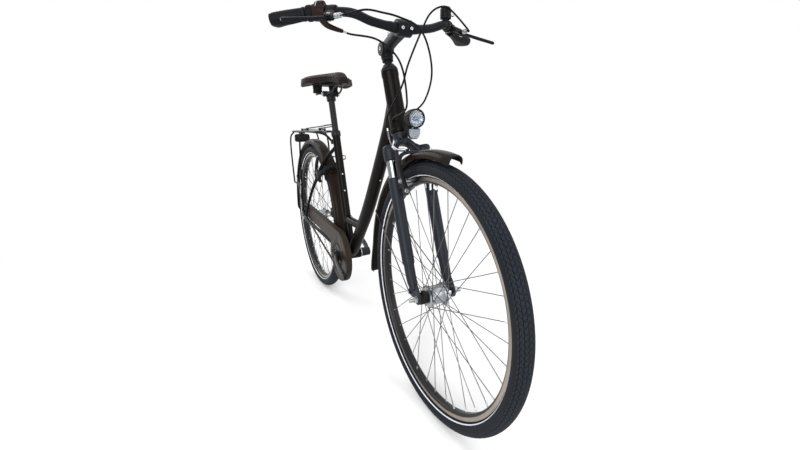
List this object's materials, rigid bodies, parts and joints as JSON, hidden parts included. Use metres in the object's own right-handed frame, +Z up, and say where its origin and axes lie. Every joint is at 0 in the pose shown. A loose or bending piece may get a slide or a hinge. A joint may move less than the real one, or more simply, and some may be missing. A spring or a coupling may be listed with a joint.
{
  "type": "city bike",
  "caption": "Unisex step-through city bike with a wave-shaped frame, sprung fork, rim brakes, mudguards, carrier, chain guard, frame lock and kickstand.",
  "frame": {"origin": "on the ground, midway along and across the bike's bounding box", "axes": "+X forward towards the front wheel, +Y to the rider's left, +Z up"},
  "size_m": [1.8841, 0.6258, 1.1178],
  "materials": {
    "frame_black": "satin",
    "frame_brown": "satin",
    "guard_brown": "matte",
    "tyre_rubber": "matte",
    "grip_rubber": "matte",
    "cable_sleeve": "satin",
    "silver": "satin",
    "chrome": "polished",
    "rim": "satin",
    "steel": "satin",
    "plastic": "matte",
    "crank_black": "matte",
    "lens": "clear",
    "red_lens": "gloss",
    "leather": "matte"
  },
  "bodies": {
    "frame": {"main_frame": "frame_black", "rear_triangle": "frame_black", "seat_collar": "silver", "bottom_bracket": "silver", "chain_guard": "guard_brown", "chain": "steel", "rear_fender": "frame_brown", "rear_fender_stays": "steel", "rack": "frame_black", "rear_lamp": "red_lens", "rear_axle": "steel", "frame_lock": "plastic", "rear_brake_cable": "cable_sleeve", "rear_brake_cable_end": "cable_sleeve", "shifter_cable": "cable_sleeve"},
    "lock_shackle": {"lock_shackle": "chrome"},
    "kickstand": {"kickstand": "frame_black"},
    "rack_clip": {"rack_clip": "frame_black"},
    "saddle": {"seatpost": "steel", "saddle_clamp": "steel", "saddle_rails": "steel", "saddle_base": "plastic", "saddle_cover": "leather", "elastomer_left": "grip_rubber", "elastomer_right": "grip_rubber"},
    "crank": {"chainring": "steel", "crank_right": "crank_black", "crank_left": "crank_black"},
    "sprocket": {"sprocket": "steel"},
    "rear_wheel": {"rear_tyre": "tyre_rubber", "rear_rim": "rim", "rear_hub": "silver"},
    "rear_arm_left": {"rear_brake_arm_left": "silver"},
    "rear_arm_right": {"rear_brake_arm_right": "silver"},
    "steering": {"handlebar": "frame_black", "stem": "frame_black", "headset_cover": "frame_black", "grip_left": "grip_rubber", "grip_right": "grip_rubber", "lever_housing_left": "plastic", "lever_housing_right": "plastic", "shifter_housing": "plastic", "bell": "frame_black", "fork_upper": "frame_black", "headlight": "plastic", "front_reflector": "lens", "front_brake_cable": "cable_sleeve"},
    "lever_left": {"lever_blade_left": "plastic"},
    "lever_right": {"lever_blade_right": "plastic"},
    "twist_shifter": {"shifter_grip": "grip_rubber"},
    "bell_thumb": {"bell_lever": "silver"},
    "fork_slider": {"fork_lowers": "frame_black", "front_axle": "steel", "front_fender": "frame_brown", "front_fender_stays": "steel"},
    "front_arm_left": {"front_brake_arm_left": "silver"},
    "front_arm_right": {"front_brake_arm_right": "silver"},
    "front_wheel": {"front_tyre": "tyre_rubber", "front_rim": "rim", "front_hub": "silver"}
  },
  "joints": [
    {"name": "steering", "type": "hinge", "parent": "frame", "child": "steering", "pos_m": [0.39569, 0, 0.77265], "axis": [-0.3338, 0, 0.9426], "range_deg": [-60, 60], "deforming": ["rear_brake_cable", "shifter_cable"]},
    {"name": "fork_spring", "type": "slide", "parent": "steering", "child": "fork_slider", "axis": [-0.3338, 0, 0.9426], "range_m": [0, 0.03], "stiffness_N_per_m": 7000, "springref_m": -0.02, "deforming": ["front_brake_cable"]},
    {"name": "front_wheel_spin", "type": "hinge", "parent": "fork_slider", "child": "front_wheel", "pos_m": [0.5885, 0, 0.354], "axis": [0, 1, 0], "continuous": true},
    {"name": "rear_wheel_spin", "type": "hinge", "parent": "frame", "child": "rear_wheel", "pos_m": [-0.5575, 0, 0.354], "axis": [0, 1, 0], "continuous": true},
    {"name": "crank_spin", "type": "hinge", "parent": "frame", "child": "crank", "pos_m": [-0.0745, 0, 0.288], "axis": [0, 1, 0], "continuous": true},
    {"name": "sprocket_spin", "type": "hinge", "parent": "frame", "child": "sprocket", "pos_m": [-0.5575, 0, 0.354], "axis": [0, 1, 0], "continuous": true},
    {"name": "brake_lever_left", "type": "hinge", "parent": "steering", "child": "lever_left", "pos_m": [0.4125, 0.194, 1.05], "axis": [0.4261, 0.155, 0.8913], "range_deg": [0, 18], "stiffness_Nm_per_rad": 1, "springref_deg": -17.19},
    {"name": "brake_lever_right", "type": "hinge", "parent": "steering", "child": "lever_right", "pos_m": [0.4125, -0.194, 1.05], "axis": [-0.4261, 0.155, -0.8913], "range_deg": [0, 18], "stiffness_Nm_per_rad": 1, "springref_deg": -17.19},
    {"name": "front_arm_left_pivot", "type": "hinge", "parent": "fork_slider", "child": "front_arm_left", "pos_m": [0.51167, 0.044, 0.62638], "axis": [0.9426, 0, 0.3338], "range_deg": [0, 5.5]},
    {"name": "front_arm_right_pivot", "type": "hinge", "parent": "fork_slider", "child": "front_arm_right", "pos_m": [0.51167, -0.044, 0.62638], "axis": [0.9426, 0, 0.3338], "range_deg": [-5.5, 0]},
    {"name": "rear_arm_left_pivot", "type": "hinge", "parent": "frame", "child": "rear_arm_left", "pos_m": [-0.38559, 0.044, 0.57804], "axis": [0.7934, 0, -0.6088], "range_deg": [0, 5.5]},
    {"name": "rear_arm_right_pivot", "type": "hinge", "parent": "frame", "child": "rear_arm_right", "pos_m": [-0.38559, -0.044, 0.57804], "axis": [0.7934, 0, -0.6088], "range_deg": [-5.5, 0]},
    {"name": "shifter_twist", "type": "hinge", "parent": "steering", "child": "twist_shifter", "pos_m": [0.32763, -0.216, 1.07416], "axis": [-0.5306, -0.8428, -0.0905], "range_deg": [-60, 60]},
    {"name": "bell_lever_pivot", "type": "hinge", "parent": "steering", "child": "bell_thumb", "pos_m": [0.39693, 0.159, 1.09634], "axis": [0, 0, 1], "range_deg": [0, 25], "stiffness_Nm_per_rad": 0.02, "springref_deg": -11.46},
    {"name": "seatpost_slide", "type": "slide", "parent": "frame", "child": "saddle", "axis": [-0.2588, 0, 0.9659], "range_m": [-0.025, 0.1]},
    {"name": "rack_clip_hinge", "type": "hinge", "parent": "frame", "child": "rack_clip", "pos_m": [-0.5545, 0, 0.785], "axis": [0, -1, 0], "range_deg": [0, 18], "stiffness_Nm_per_rad": 0.8, "springref_deg": -28.65},
    {"name": "kickstand_pivot", "type": "hinge", "parent": "frame", "child": "kickstand", "pos_m": [-0.4545, 0.0885, 0.335], "axis": [0, -1, 0], "range_deg": [0, 95]},
    {"name": "lock_shackle_turn", "type": "hinge", "parent": "frame", "child": "lock_shackle", "pos_m": [-0.30683, 0, 0.5837], "axis": [-0.6756, 0, 0.7373], "range_deg": [0, 118], "stiffness_Nm_per_rad": 0.05, "springref_deg": -57.3}
  ],
  "couplings": [
    {"joint": "sprocket_spin", "follows": "crank_spin", "ratio": 2.4444},
    {"joint": "front_arm_left_pivot", "follows": "brake_lever_left", "ratio": 0.30222},
    {"joint": "front_arm_right_pivot", "follows": "brake_lever_left", "ratio": -0.30222},
    {"joint": "rear_arm_left_pivot", "follows": "brake_lever_right", "ratio": 0.30222},
    {"joint": "rear_arm_right_pivot", "follows": "brake_lever_right", "ratio": -0.30222}
  ]
}
